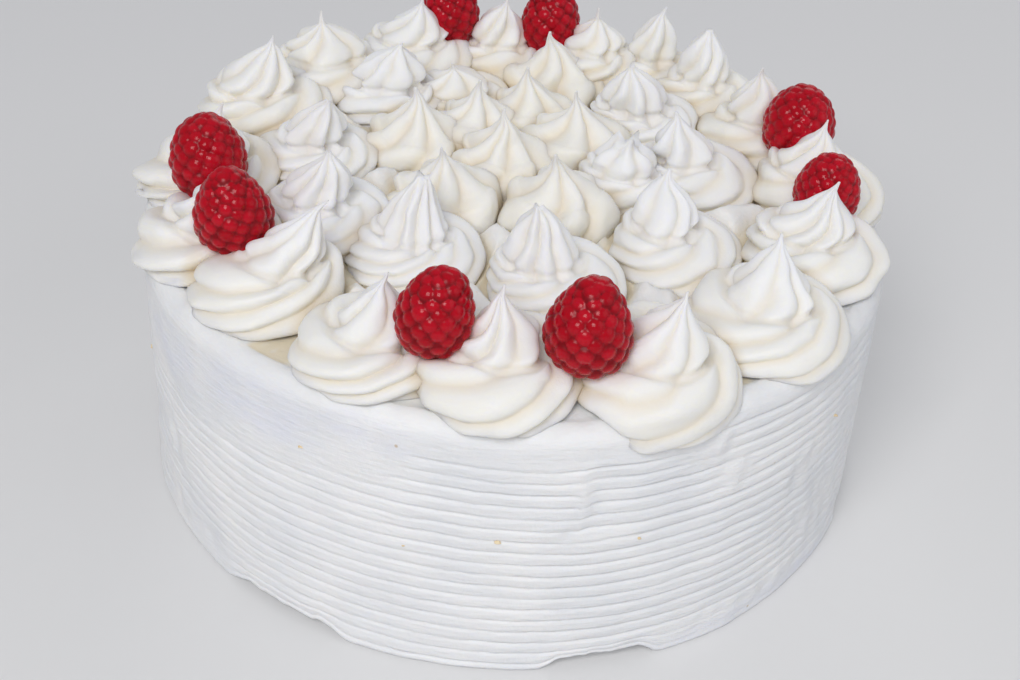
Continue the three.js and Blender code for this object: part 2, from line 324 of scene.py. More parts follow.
# Colours
ICING_COOL = (0.75, 0.76, 0.782)
ICING_PALE = (0.815, 0.815, 0.822)
ICING_THIN = (0.725, 0.74, 0.825)
ICING_BED_SHADE = (0.77, 0.68, 0.52)
# Painted shade: tan on the top's bed between the swirls, deepest at their feet
BARE_SPONGE = (0.72, 0.63, 0.46)
BROWN_SPECK = (0.55, 0.42, 0.27)
# Cream: the cool lit-looking and warm shaded ends of its painted light
CREAM_COOL_LIT = (0.818, 0.826, 0.842)
CREAM_WARM_SHADE = (0.82, 0.803, 0.752)
CREAM_MOTTLE = (0.83, 0.805, 0.755)
# Painted shade in the cream's creases
CREAM_CREASE_SHADE = (0.79, 0.70, 0.55)
# Painted shade where swirls press together
CREAM_CONTACT_SHADE = (0.68, 0.54, 0.33)
CREAM_JUICE = (0.72, 0.30, 0.30)
BERRY_DEEP = (0.37, 0.002, 0.010)
BERRY_BRIGHT = (0.46, 0.005, 0.017)
# Painted shade in the creases between the beads
BERRY_CREASE_SHADE = (0.19, 0.001, 0.005)
CRUMB_BROWN = (0.68, 0.50, 0.27)
CRUMB_PALE = (0.77, 0.65, 0.44)
FLOOR_COOL = (0.70, 0.70, 0.71)
FLOOR_PALE = (0.74, 0.74, 0.74)

# Floor and lights, in metres: a light's place, size, power in watts and colour
FLOOR_SIZE = 3.0
LIGHTS = {
    "window_light": ((-0.45, -1.55, 1.6), 1.1, 31.0, (1.0, 0.99, 0.98)),
    "fill_light": ((1.4, -0.5, 0.9), 1.4, 4.0, (0.97, 0.98, 1.0)),
    "back_light": ((0.5, 1.7, 1.1), 1.4, 6.0, (1.0, 0.99, 0.97)),
}
SKY_COLOUR = (0.93, 0.95, 1.0, 1.0)
SKY_STRENGTH = 0.37

# Camera, fitted to the photograph
CAMERA_PLACE = (0.76 * MM, -414.7 * MM, 326.5 * MM)
CAMERA_PITCH = 35.41
CAMERA_ROLL = 3.63
CAMERA_LENS = 58.9
CAMERA_SENSOR = 36.0
CAMERA_NEAR = 0.01


def ease(low, high, x):
    """0 at low, 1 at high, with a smooth rise between."""
    t = min(max((x - low) / (high - low), 0.0), 1.0)
    return t * t * (3 - 2 * t)


def ease_all(low, high, values):
    """The same smooth rise, for an array of values."""
    t = np.clip((values - low) / (high - low), 0.0, 1.0)
    return t * t * (3 - 2 * t)


def from_bearing(distance, bearing):
    """X and Y of a point at a distance from the cake's axis, on a bearing in degrees."""
    angle = math.radians(bearing)
    return distance * math.cos(angle), distance * math.sin(angle)


def turn_between(bearing, other):
    """Degrees from one bearing to another, the short way round."""
    return (other - bearing + 180.0) % 360.0 - 180.0


def lumps(x, y, z, kind):
    """Smooth unevenness of one kind at a point, either way by about its strength."""
    strength, size, flatness = kind
    return strength * noise.noise(Vector((x / size, y / size, z * flatness / size)))


def flat_lumps(x, y, kind):
    """Smooth unevenness that is the same at every height."""
    strength, size, slice_height = kind
    return lumps(x, y, slice_height, (strength, size, 1))


def turned(bm, section, steps):
    """Turns a half section of vertices about the upright axis into a closed skin."""
    edges = [bm.edges.new(pair) for pair in zip(section, section[1:])]
    bmesh.ops.spin(bm, geom=section + edges, cent=(0, 0, 0), axis=(0, 0, 1), angle=math.tau,
                   steps=steps, use_merge=True)
    bmesh.ops.remove_doubles(bm, verts=bm.verts[:], dist=MERGE_DISTANCE)
    bmesh.ops.recalc_face_normals(bm, faces=bm.faces[:])


def in_metres(bm):
    """Brings a bmesh that was made in millimetres to metres."""
    bmesh.ops.scale(bm, vec=(MM, MM, MM), verts=bm.verts[:])


def as_mesh(bm, name):
    """Turns a finished bmesh into a mesh."""
    mesh = bpy.data.meshes.new(name)
    bm.to_mesh(mesh)
    bm.free()
    return mesh


def added(name, mesh, material):
    """Adds a mesh to the scene with one material."""
    piece = bpy.data.objects.new(name, mesh)
    bpy.context.scene.collection.objects.link(piece)
    mesh.materials.clear()
    mesh.materials.append(material)
    return piece


def dressed(name, mesh, material):
    """Adds a finished mesh as a smooth piece of the cake."""
    piece = added(name, mesh, material)
    for polygon in mesh.polygons:
        polygon.use_smooth = True
    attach(piece, "root")
    return piece


def stands_for(node, mesh, material):
    """Adds a finished mesh as the piece that stands for a node."""
    piece = dressed(node + "_dressed", mesh, material)
    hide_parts(node)


def store(mesh, name, values):
    """Keeps one number for each vertex, for the material to read."""
    attribute = mesh.attributes.new(name, "FLOAT", "POINT")
    attribute.data.foreach_set("value", np.asarray(values, dtype=np.float32))


def vertex_places(mesh):
    """Places of a mesh's vertices, as rows."""
    places = np.empty(len(mesh.vertices) * 3, dtype=np.float32)
    mesh.vertices.foreach_get("co", places)
    return places.reshape(-1, 3).astype(float)


# Where the swirls stand: x, y and radius, in millimetres
SWIRL_PLACES = [
    (*from_bearing(distance, bearing), radius) for bearing, distance, radius, *_ in RIM_SWIRLS
]
SWIRL_PLACES += [(x, y, TOP_SPREAD * radius) for x, y, radius, *_ in TOP_SWIRLS]


# Iced cake

def by_bearing(table, bearing):
    """A value that changes round the cake, from a table of bearings and values."""
    for (start, low), (stop, high) in zip(table, table[1:]):
        if start <= bearing <= stop:
            return low + (high - low) * ease(start, stop, bearing)
    return table[0][1]


def spot(bearing, height, patch):
    """1 in the middle of a patch on the side, fading to 0 at its edge."""
    middle, level, half_width, half_height = patch
    across = turn_between(middle, bearing) / half_width
    up = (height - level) / half_height
    return 1.0 - ease(*PATCH_FADE, math.hypot(across, up))


def stretch(bearing, middle, half_width):
    """1 along a stretch round the cake, fading to 0 at its ends."""
    return 1.0 - ease(*STRETCH_FADE, abs(turn_between(middle, bearing)) / half_width)


def cake_profile():
    """Half section as (radius, height, groove share), from the foot's middle to the top's middle."""
    section = [(0, 0, 0)]
    section += [(CAKE_RADIUS - inset, height, 0) for inset, height in FOOT_RINGS]
    for groove in range(GROOVE_COUNT):
        middle = LOWEST_GROOVE + groove * GROOVE_PITCH
        section += [(CAKE_RADIUS, middle + offset, share) for offset, share in GROOVE_SECTION]
    for step in range(EDGE_STEPS + 1):
        angle = math.radians(90 * step / EDGE_STEPS)
        out = CAKE_RADIUS - EDGE_ROUND + EDGE_ROUND * math.cos(angle)
        section.append((out, CAKE_HEIGHT - EDGE_ROUND + EDGE_ROUND * math.sin(angle), 0))
    section += [(CAKE_RADIUS - EDGE_ROUND - inset, CAKE_HEIGHT, 0) for inset in EDGE_RINGS]
    section += [(FIRST_TOP_RING - TOP_RING_STEP * ring, CAKE_HEIGHT, 0) for ring in range(TOP_RINGS)]
    section.append((0, CAKE_HEIGHT, 0))
    return section


def gap_between(x, y):
    """How far a point of the top is from the nearest swirl's ring, below 0 under a swirl."""
    return min(math.hypot(x - at_x, y - at_y) - wide for at_x, at_y, wide in SWIRL_PLACES)


def seam_step(bearing, z):
    """1 just past the comb's seam, fading along the side and towards its foot and top."""
    past = bearing - COMB_SEAM
    along = ease(*SEAM_STARTS, past) * (1.0 - ease(*SEAM_ENDS, past))
    return along * ease(*SEAM_FOOT, z) * (1.0 - ease(*SEAM_HEAD, z))


def comb_cut(x, y, z, bearing, wiped):
    """How deep the comb's grooves are, none above its reach and little where the icing is wiped."""
    above = z - by_bearing(COMB_REACH, bearing) - lumps(x, y, z, REACH_WANDER)
    combed = (1.0 - ease(*COMB_FADE, above)) * (1.0 - SMEAR_WIPE * wiped)
    uneven = 1.0 + lumps(x, y, z, DEPTH_SLOW) + lumps(x, y, z, DEPTH_FINE)
    return combed * uneven * by_bearing(GROOVE_DEPTHS, bearing)


def ridge_wave(x, y, z, bearing, step):
    """How far the ridges wander up and down, calm near the cake's foot and top edge."""
    ripple = RIPPLE_CALM + RIPPLE_ADDED * ease(*RIPPLE_BEARINGS, bearing)
    wave = flat_lumps(x, y, RIDGE_SWEEP) + lumps(x + WAVE_APART, y, z, RIDGE_WAVE)
    wave += ripple * lumps(x, y, z, RIDGE_RIPPLE) + SEAM_STEP * step
    return wave * ease(*RIDGES_START, z) * (1.0 - ease(*RIDGES_END, z))


def side_push(x, y, z, wiped, step):
    """How far the side's icing stands out or in, bulging at the seam and rough where it is wiped."""
    push = lumps(x, y, z, SIDE_BULGE) + lumps(x, y + DENT_APART, z, SIDE_DENT) + lumps(x, y, z, SIDE_GRAIN)
    rough = lumps(x, y, z, SMEAR_LUMP) + lumps(x, y, z, SMEAR_GRAIN)
    return push + SEAM_BULGE * step * (1 - step) + wiped * rough * ease(*SMEARS_START, z)


def foot_move(x, y, z, bearing):
    """How far the foot of the icing spreads out, and how far it lifts."""
    near = 1.0 - ease(*FOOT_ENDS, z)
    ragged = LIFT_SHARE + flat_lumps(x, y, FOOT_LUMP) + flat_lumps(x, y, FOOT_GRAIN)
    out = FOOT_SPREAD + flat_lumps(x, y, FOOT_SLOW)
    up = 0.0
    for middle, half_width, lift in FOOT_LIFTS:
        share = stretch(bearing, middle, half_width)
        out -= share * LIFT_TUCK
        up += share * lift * ragged
    return near * out, near * up


def top_rise(x, y, z, bed, inside, gap):
    """How far the top's icing rises: a lip round it, and mounds of cream between the swirls."""
    rise = ease(*ROLL_STARTS, z) * flat_lumps(x, y, TOP_ROLL)
    rise += ease(*GRAIN_STARTS, z) * flat_lumps(x, y, TOP_GRAIN)
    rise -= LIP_DEPTH * inside * (1 - bed)
    mound = MOUND_HEIGHT * ease(*MOUND_STARTS, gap) * (1.0 + flat_lumps(x, y, MOUND_LUMP))
    return rise + bed * (BED_HEIGHT + mound + flat_lumps(x, y, BED_GRAIN))


def thin_share(x, y, z, bearing):
    """How thin the icing is, from 0 where it is full."""
    patchy = THIN_MEAN + lumps(x, y, z, THIN_SLOW) + lumps(x, y, z, THIN_FINE)
    return max(patchy * max(spot(bearing, z, patch) for patch in THIN_ICING), 0.0)


def bare_share(x, y, z, bearing):
    """How far the sponge shows through along the top edge."""
    patchy = BARE_MEAN + lumps(x, y, z, BARE_FINE)
    return max(patchy * max(stretch(bearing, *edge) for edge in BARE_EDGES), 0.0)


def shaped_icing(x, y, z, groove):
    """Where a point of the plain turned cake goes on the real one, and how thin, bare and shaded it is."""
    reach = math.hypot(x, y)
    bearing = math.degrees(math.atan2(y, x))
    on_side = ease(*SIDE_STARTS, reach)
    on_top = ease(*TOP_STARTS, z)
    inside = on_top * ease(*LIP_ENDS, CAKE_RADIUS - reach)
    bed = on_top * (1 - ease(*BED_ENDS, reach))
    gap = gap_between(x, y) if bed > 0 else 0.0
    wiped = max(spot(bearing, z, smear) for smear in SMEARS)
    step = seam_step(bearing, z)
    foot_out, foot_up = foot_move(x, y, z, bearing)
    push = side_push(x, y, z, wiped, step) - groove * comb_cut(x, y, z, bearing, wiped)
    out = reach + on_side * (push + foot_out)
    up = z + on_side * (ridge_wave(x, y, z, bearing, step) + foot_up) + top_rise(x, y, z, bed, inside, gap)
    bare = inside * ease(*BARE_STARTS, reach) * bare_share(x, y, z, bearing)
    # Painted shade on the bed, strongest at the swirls' feet and fading on the mounds between them
    shaded = bed * (1.0 - MOUND_PALING * ease(*PALING_STARTS, gap))
    scale = out / reach if reach > 0 else 1.0
    return Vector((x * scale, y * scale, up)), thin_share(x, y, z, bearing), bare, shaded


def iced_cake(material):
    """Turns the cake's half section, then combs, smears and lifts its icing."""
    bm = bmesh.new()
    groove_layer = bm.verts.layers.float.new("groove")
    section = []
    for reach, height, share in cake_profile():
        vert = bm.verts.new((reach, 0, height))
        vert[groove_layer] = share
        section.append(vert)
    turned(bm, section, AROUND_STEPS)
    # The bed layer holds painted shade between the swirls' feet on the top
    kept_layers = [bm.verts.layers.float.new(name) for name in ("thin", "bare", "bed")]
    for vert in bm.verts:
        place, *shares = shaped_icing(*vert.co, vert[groove_layer])
        vert.co = place
        for layer, share in zip(kept_layers, shares):
            vert[layer] = share
    in_metres(bm)
    stands_for("iced_cake", as_mesh(bm, "iced_cake_dressed"), material)


def crumbs(material):
    """Small lumps of sponge, half sunk in the icing of the side."""
    bm = bmesh.new()
    for bearing, height, size in CRUMBS:
        x, y = from_bearing(CAKE_RADIUS, bearing)
        place = shaped_icing(x, y, height, 0.0)[0] * CRUMB_SINK
        lump = bmesh.ops.create_icosphere(bm, subdivisions=CRUMB_ROUNDS, radius=size)["verts"]
        for vert in lump:
            vert.co *= 1 + lumps(*(vert.co + place), (CRUMB_UNEVEN, size, 1))
        bmesh.ops.scale(bm, vec=CRUMB_STRETCH, verts=lump)
        bmesh.ops.translate(bm, vec=place, verts=lump)
    in_metres(bm)
    dressed("crumbs", as_mesh(bm, "crumbs"), material)


# Piped swirls

def swirl_blank():
    """A turned blank with one ring of vertices for every step of a swirl's section."""
    rings = SHOULDER_STEPS + SLOPE_STEPS + NECK_STEPS - 2
    bm = bmesh.new()
    section = [bm.verts.new((0, 0, 0))]
    section += [bm.verts.new((1, 0, ring + 1)) for ring in range(rings)]
    section.append(bm.verts.new((0, 0, rings + 1)))
    turned(bm, section, COLUMNS)
    return as_mesh(bm, "swirl_blank")


def swirl_section(radius, height, habit):
    """Rows of distance and height, from the foot's middle over the shoulder to the tip."""
    def shares(out, up):
        return Vector((out * radius, up * height))

    def drawn_up(out, up):
        return Vector((tip.x + out * (neck.x - tip.x), neck.y + up * (height - neck.y)))

    shoulder = shares(habit["out"], habit["up"])
    neck = shares(habit["neck_out"], habit["neck_up"])
    tip = Vector((habit["tip"], height))
    fuller = FULLNESS * habit["full"]
    below = shoulder + shares(*BELOW_SHOULDER)
    above = shoulder + shares(fuller + ABOVE_SHOULDER[0], fuller + ABOVE_SHOULDER[1])
    under_neck = neck + shares(habit["bulge"], NECK_HANDLE)
    side = interpolate_bezier(shares(*SWIRL_FOOT), shares(*SWIRL_BELLY), below, shoulder, SHOULDER_STEPS)
    slope = interpolate_bezier(shoulder, above, under_neck, neck, SLOPE_STEPS)
    drop = interpolate_bezier(neck, drawn_up(*PINCH), drawn_up(*POINT), tip, NECK_STEPS)
    top = height - max(habit["tip"] - WIDEST_FULL_TIP, 0.0)
    return np.array([(0, 0), *side, *slope[1:], *drop[1:], (0, top)])


def wound(ring, habit):
    """How far the ridges have wound round at each ring of vertices, in radians."""
    lower = np.clip(ring / SHOULDER_STEPS, 0, 1)
    upper = np.clip((ring - SHOULDER_STEPS) / (SLOPE_STEPS + NECK_STEPS), 0, 1)
    on_ring = math.radians(habit["ring_wind"]) * (1 - (1 - lower) ** RING_EASE)
    return on_ring + math.radians(habit["peak_wind"]) * (1 - (1 - upper) ** PEAK_EASE)


def ridge_crests(around, habit):
    """1 along the crest of each ridge and near 0 in the creases between them."""
    uneven = around + UNEVEN_ONCE * np.sin(around + habit["seed"])
    uneven += UNEVEN_TWICE * np.sin(2 * around + 3 * habit["seed"])
    wave = np.minimum(np.hypot(np.cos(habit["ridges"] / 2 * (uneven - habit["phase"])), CREASE_ROUND), 1.0)
    rounded = wave ** CREST_WIDTH
    return rounded + habit["petal"] * (wave ** 2 - rounded)


def crease_depths(around, ring, level, section, habit):
    """How deep the creases between the ridges are, shallower near the axis and at the tip."""
    depth = np.minimum(habit["crease"], CREASE_MOST * section[:, 0])[ring]
    depth *= 1 + CREASE_UNEVEN * np.sin(2 * around + habit["seed"])
    depth *= habit["ring_share"] + (1 - habit["ring_share"]) * ease_all(*PEAK_STARTS, ring)
    return depth * (1 - TIP_SMOOTH * ease_all(*TIP_SMOOTHS, level))


def peak_valley(angle, ring, habit):
    """How deep the valley round the foot of the peak is, deepest behind the peak."""
    behind = VALLEY_MEAN * (1 + np.cos(angle - math.radians(VALLEY_BEARING)))
    across = (ring - SHOULDER_STEPS - 1) / VALLEY_WIDTH
    return habit["valley"] * np.clip(behind, VALLEY_LEAST, 1) * np.exp(-across ** 2)


def piped(blank, size, lean, habit):
    """Shapes the blank's vertices into one swirl, with its ridges wound up to the tip."""
    radius, height = size
    around = np.arctan2(blank[:, 1], blank[:, 0])
    ring = np.rint(blank[:, 2]).astype(int)
    section = swirl_section(radius, height, habit)
    along = np.gradient(section, axis=0)
    along /= np.linalg.norm(along, axis=1, keepdims=True)
    share = ring / (len(section) - 1)
    level = section[ring, 1] / height
    angle = around + wound(ring, habit)
    crest = ridge_crests(around, habit)
    valley = peak_valley(angle, ring, habit)
    push = crease_depths(around, ring, level, section, habit) * (crest - 1) - valley
    tuck = CREST_TUCK * crest * (1 - share) * np.clip(share / TUCK_STARTS, 0, 1)
    out = section[ring, 0] + along[ring, 1] * push - along[ring, 0] * tuck
    up = section[ring, 1] - along[ring, 0] * push - along[ring, 1] * tuck
    spikes = 2 * (0.5 + 0.5 * np.sin(TEAR_COUNT * around + habit["seed"])) ** 2 - 1
    up += habit["torn"] * TEAR_HEIGHT * spikes * ease_all(*TEAR_STARTS, level) * (share < 1)
    shift = habit["shift"] * radius
    bow = np.clip(level, 0, 1) ** BOW_POWER
    x = out * np.cos(angle) + shift * ease_all(*SHIFT_STARTS, level) + (lean[0] - shift) * bow
    y = out * np.sin(angle) + lean[1] * bow
    # Painted shade in the creases and in the valley behind the peak
    crease_shade = np.maximum(1 - crest, VALLEY_SHADE * np.minimum(valley, 1.0))
    return np.stack((x, y, up), axis=1), crease_shade, level


def roughened(places, habit):
    """Uneven pushes, so that no swirl is perfectly round."""
    for place in places:
        x, y, z = place
        layer = z + SWIRLS_APART * habit["seed"]
        for axis, along in enumerate((x, x + SWAY_APART)):
            place[axis] += lumps(along, y, layer, SWIRL_SWAY) + lumps(along, y, layer, SWIRL_GRAIN)


def hung(places, hang):
    """Lets the part of a swirl that stands out past the cake's edge sink down its side."""
    for place in places:
        reach = math.hypot(place[0], place[1])
        past = ease(*HANG_STARTS, reach)
        place[2] -= hang * past * (1 - HANG_EASED * ease(*HANG_EASES, place[2] - CAKE_HEIGHT))
        place[2] += TILT_SHARE * hang * (1 - ease(*TILT_ENDS, reach))
        pressed = ease(*PRESS_HANGS, hang) * (1 - ease(*PRESS_ENDS, place[2] - CAKE_HEIGHT))
        place[:2] *= 1 - PRESS_SHARE * pressed * max(reach - CAKE_RADIUS - PRESS_GAP, 0.0) / reach


def contact_shade_near(places, x, y):
    """How much painted shade each vertex takes where it is pressed against another swirl, fading above the
    foot.
    """
    gap = np.full(len(places), CAKE_RADIUS)
    for at_x, at_y, wide in SWIRL_PLACES:
        if math.hypot(at_x - x, at_y - y) > NEXT_SWIRL:
            gap = np.minimum(gap, np.hypot(places[:, 0] - at_x, places[:, 1] - at_y) - wide)
    return (1 - ease_all(*CONTACT_ENDS, places[:, 2] - CAKE_HEIGHT)) * (1 - ease_all(*CONTACT_GAPS, gap))


def juice_near(places):
    """How much berry juice stains each vertex, by its distance from the nearest berry."""
    stain = np.zeros(len(places))
    for name, (_, _, width, length, *_) in BERRIES.items():
        away = places - np.array(berry_middle(name))
        away[:, 2] *= width / length
        gap = np.linalg.norm(away, axis=1) - width / 2
        stain = np.maximum(stain, np.clip(1.0 - gap / JUICE_REACH, 0.0, 1.0))
    return stain


def swirl(node, blank, place, size, lean, hang, habit, material):
    """One piped star swirl, standing at its place on the cake's top."""
    mesh = blank.copy()
    mesh.name = node + "_dressed"
    places, creases, level = piped(vertex_places(mesh), size, lean, habit)
    roughened(places, habit)
    places += np.array((*place, CAKE_HEIGHT - SWIRL_SINK))
    hung(places, hang)
    mesh.vertices.foreach_set("co", (places * MM).astype(np.float32).ravel())
    mesh.update()
    # Painted light and shade: cooler towards the tip, warmer towards the foot, over each swirl's own tone;
    # warmer swirls get deeper crease shade
    tone_and_shade = np.clip(habit["tone_and_shade"] + TONE_FALL * (TONE_LEVEL - level), 0.0, 1.0)
    store(mesh, "crease_shade", creases * (CREVICE_LEAST + (1 - CREVICE_LEAST) * tone_and_shade))
    store(mesh, "juice", juice_near(places))
    store(mesh, "contact_shade", contact_shade_near(places, *place))
    store(mesh, "tone_and_shade", tone_and_shade)
    stands_for(node, mesh, material)


def swirl_habit(draw, peak):
    """How one swirl was piped: seeded, with small differences from its neighbours."""
    habit = {}
    for (name, spread), value in zip(PEAK_SPREADS.items(), PEAKS[peak]):
        habit[name] = value * draw.uniform(1 - spread, 1 + spread) if spread else value
    habit["phase"] = draw.uniform(0.0, math.tau)
    habit["tone_and_shade"] += draw.uniform(-TONE_SPREAD, TONE_SPREAD)
    habit["seed"] = draw.uniform(0.0, SEED_MOST)
    return habit


def all_swirls(material):
    """Pipes the ring of swirls along the rim and those inside it."""
    draw = random.Random(SWIRL_SEED)
    blank = swirl_blank()
    for number, (bearing, distance, radius, height, *lean, hang, peak) in enumerate(RIM_SWIRLS, 1):
        node = f"rim_swirl_{number:02d}"
        place = from_bearing(distance, bearing)
        swirl(node, blank, place, (radius, height), lean, hang, swirl_habit(draw, peak), material)
    for number, (x, y, radius, height, *lean, peak) in enumerate(TOP_SWIRLS, 1):
        node = f"top_swirl_{number:02d}"
        size = (radius * TOP_SPREAD, height)
        swirl(node, blank, (x, y), size, lean, 0.0, swirl_habit(draw, peak), material)
    bpy.data.meshes.remove(blank)


# Berries

def berry_middle(name):
    """Centre of a berry, in millimetres."""
    bearing, ring, _, _, _, _, deeper, _, _ = BERRIES[name]
    return *from_bearing(ring, bearing), CAKE_HEIGHT + BERRY_LIFT - deeper


def bead_middles(width, length, bead, taper, count, draw):
    """Centres of a berry's beads, in a spiral from its point to its foot."""
    middles = []
    for number in range(count):
        up = 1 - 2 * (number + 0.5) / count
        around = number * BEAD_TURN + draw.uniform(-BEAD_WANDER, BEAD_WANDER)
        out = math.sqrt(1 - up * up) * (width / 2 - BEAD_INSET * bead) * (1 - taper * up)
        level = up * (length / 2 - BEAD_INSET * bead)
        middles.append((out * math.cos(around), out * math.sin(around), level))
    return np.array(middles)


def berry(name, seed, material):
    """One berry of many small juicy beads, pressed in upright and a little tilted."""
    _, _, width, length, tilt_x, tilt_y, _, taper, count = BERRIES[name]
    draw = random.Random(seed)
    bead = BEAD_SHARE * width / math.sqrt(count)
    middles = bead_middles(width, length, bead, taper, count, draw)
    sizes = np.array([bead * draw.uniform(1 - BEAD_UNEVEN, 1 + BEAD_UNEVEN) for _ in middles])
    shades = np.array([draw.random() for _ in middles])
    bm = bmesh.new()
    bmesh.ops.create_icosphere(bm, subdivisions=BERRY_ROUNDS, radius=1.0)
    rays = np.array([vert.co.normalized() for vert in bm.verts])
    along = rays @ middles.T
    inside = sizes ** 2 - (middles ** 2).sum(axis=1) + along ** 2
    reach = np.where(inside > 0, along + np.sqrt(np.maximum(inside, 0)), 0.0)
    outer = reach.argmax(axis=1)
    skin = rays * np.maximum(reach.max(axis=1), BERRY_CORE * width)[:, None]
    swell = ((skin - middles[outer]) * rays).sum(axis=1) / sizes[outer]
    for vert, place in zip(bm.verts, skin):
        vert.co = place
    tilt = Matrix.Rotation(math.radians(tilt_x), 4, "Y") @ Matrix.Rotation(math.radians(-tilt_y), 4, "X")
    bmesh.ops.transform(bm, matrix=Matrix.Translation(berry_middle(name)) @ tilt, verts=bm.verts[:])
    in_metres(bm)
    bmesh.ops.recalc_face_normals(bm, faces=bm.faces[:])
    mesh = as_mesh(bm, name + "_dressed")
    store(mesh, "swell", np.clip(swell, 0.0, 1.0))
    store(mesh, "shade", shades[outer])
    stands_for(name, mesh, material)


def all_berries(material):
    """Presses every berry into its place between the swirls."""
    for seed, name in enumerate(BERRIES):
        berry(name, seed, material)


# Materials

def add(tree, kind, **properties):
    """Adds a node of one kind, with its properties set by name."""
    node = tree.nodes.new("ShaderNode" + kind)
    for name, value in properties.items():
        setattr(node, name, value)
    return node


def set_inputs(node, values):
    """Sets plain numbers and colours on a node's own sockets."""
    for name, value in values.items():
        node.inputs[name].default_value = value


def mixed(tree, factor, first, second):
    """A colour between two, each a colour or a socket, by a factor socket."""
    node = add(tree, "Mix", data_type="RGBA")
    tree.links.new(factor, node.inputs[0])
    for socket, colour in ((node.inputs[6], first), (node.inputs[7], second)):
        if isinstance(colour, bpy.types.NodeSocket):
            tree.links.new(colour, socket)
        else:
            socket.default_value = (*colour, 1.0)
    return node.outputs[2]


def ranged(tree, value, start, end=(0.0, 1.0)):
    """A value socket moved from one range to another, held within its ends."""
    node = add(tree, "MapRange")
    tree.links.new(value, node.inputs["Value"])
    set_inputs(node, {"From Min": start[0], "From Max": start[1], "To Min": end[0], "To Max": end[1]})
    return node.outputs["Result"]


def carried(tree, name):
    """A number kept on the mesh's vertices."""
    return add(tree, "Attribute", attribute_name=name).outputs["Fac"]


def cream_texture():
    """Slow mottling and fine air bubbles, for every kind of cream."""
    tree = bpy.data.node_groups.new("cream_texture", "ShaderNodeTree")
    given = tree.nodes.new("NodeGroupInput")
    made = tree.nodes.new("NodeGroupOutput")
    place = add(tree, "TexCoord").outputs["Object"]
    for name, scale, detail in (("Mottle", 60.0, 4.0), ("Grain", 900.0, 3.0)):
        size = tree.interface.new_socket(name + " Scale", in_out="INPUT", socket_type="NodeSocketFloat")
        size.default_value = scale
        tree.interface.new_socket(name, in_out="OUTPUT", socket_type="NodeSocketFloat")
        cloud = add(tree, "TexNoise")
        set_inputs(cloud, {"Detail": detail})
        tree.links.new(place, cloud.inputs["Vector"])
        tree.links.new(given.outputs[name + " Scale"], cloud.inputs["Scale"])
        tree.links.new(cloud.outputs["Fac"], made.inputs[name])
    return tree


def new_material(name):
    """An empty material with its shader, ready for colours."""
    material = bpy.data.materials.new(name)
    material.use_nodes = True
    return material, material.node_tree, material.node_tree.nodes["Principled BSDF"]


def textured(tree, group, mottle, grain):
    """Places the shared cream texture with its own scales."""
    node = add(tree, "Group", node_tree=group)
    set_inputs(node, {"Mottle Scale": mottle, "Grain Scale": grain})
    return node.outputs["Mottle"], node.outputs["Grain"]


def raised(tree, shader, height, distance, strength):
    """Feeds a height to the shader's normal as low relief."""
    bump = add(tree, "Bump")
    set_inputs(bump, {"Distance": distance, "Strength": strength})
    tree.links.new(height, bump.inputs["Height"])
    tree.links.new(bump.outputs["Normal"], shader.inputs["Normal"])


def specks(tree):
    """A mask of a few tiny crumbs and pits, scattered thinly."""
    cells = add(tree, "TexVoronoi")
    set_inputs(cells, {"Scale": 240.0})
    tree.links.new(add(tree, "TexCoord").outputs["Object"], cells.inputs["Vector"])
    drawn = add(tree, "SeparateColor")
    tree.links.new(cells.outputs["Color"], drawn.inputs["Color"])
    dots = add(tree, "Math", operation="MULTIPLY")
    tree.links.new(ranged(tree, cells.outputs["Distance"], (0.06, 0.15), (0.8, 0.0)), dots.inputs[0])
    tree.links.new(ranged(tree, drawn.outputs["Red"], (0.98, 0.985)), dots.inputs[1])
    return dots.outputs["Value"]


def combed_streaks(tree, grain):
    """A height of fine streaks that run round the cake, with the icing's grain over them."""
    flat = add(tree, "Mapping")
    set_inputs(flat, {"Scale": (1.0, 1.0, 6.0)})
    tree.links.new(add(tree, "TexCoord").outputs["Object"], flat.inputs["Vector"])
    streak = add(tree, "TexNoise")
    set_inputs(streak, {"Scale": 130.0, "Detail": 5.0})
    tree.links.new(flat.outputs["Vector"], streak.inputs["Vector"])
    both = add(tree, "Math", operation="MULTIPLY_ADD")
    both.inputs[1].default_value = 0.4
    tree.links.new(grain, both.inputs[0])
    tree.links.new(streak.outputs["Fac"], both.inputs[2])
    return both.outputs["Value"]


def side_icing(group):
    """Cool white icing, thinner and bluer in places, with sponge showing at the top edge and tan shade
    painted on the top between the swirls.
    """
    material, tree, shader = new_material("side_icing")
    mottle, grain = textured(tree, group, 45.0, 700.0)
    colour = mixed(tree, ranged(tree, mottle, (0.35, 0.68)), ICING_COOL, ICING_PALE)
    thin = ranged(tree, carried(tree, "thin"), (0.1, 0.8), (0.0, 0.62))
    colour = mixed(tree, thin, colour, ICING_THIN)
    bare = ranged(tree, carried(tree, "bare"), (0.2, 0.75), (0.0, 0.85))
    colour = mixed(tree, bare, colour, BARE_SPONGE)
    colour = mixed(tree, specks(tree), colour, BROWN_SPECK)
    # Painted shade: tan on the top between the swirls, fading on the mounds
    colour = mixed(tree, carried(tree, "bed"), colour, ICING_BED_SHADE)
    tree.links.new(colour, shader.inputs["Base Color"])
    tree.links.new(ranged(tree, grain, (0.3, 0.7), (0.45, 0.6)), shader.inputs["Roughness"])
    set_inputs(shader, {
        "Subsurface Weight": 0.25, "Subsurface Radius": (1.0, 0.8, 0.6), "Subsurface Scale": 0.003,
    })
    raised(tree, shader, combed_streaks(tree, grain), 0.0007, 0.6)
    return material


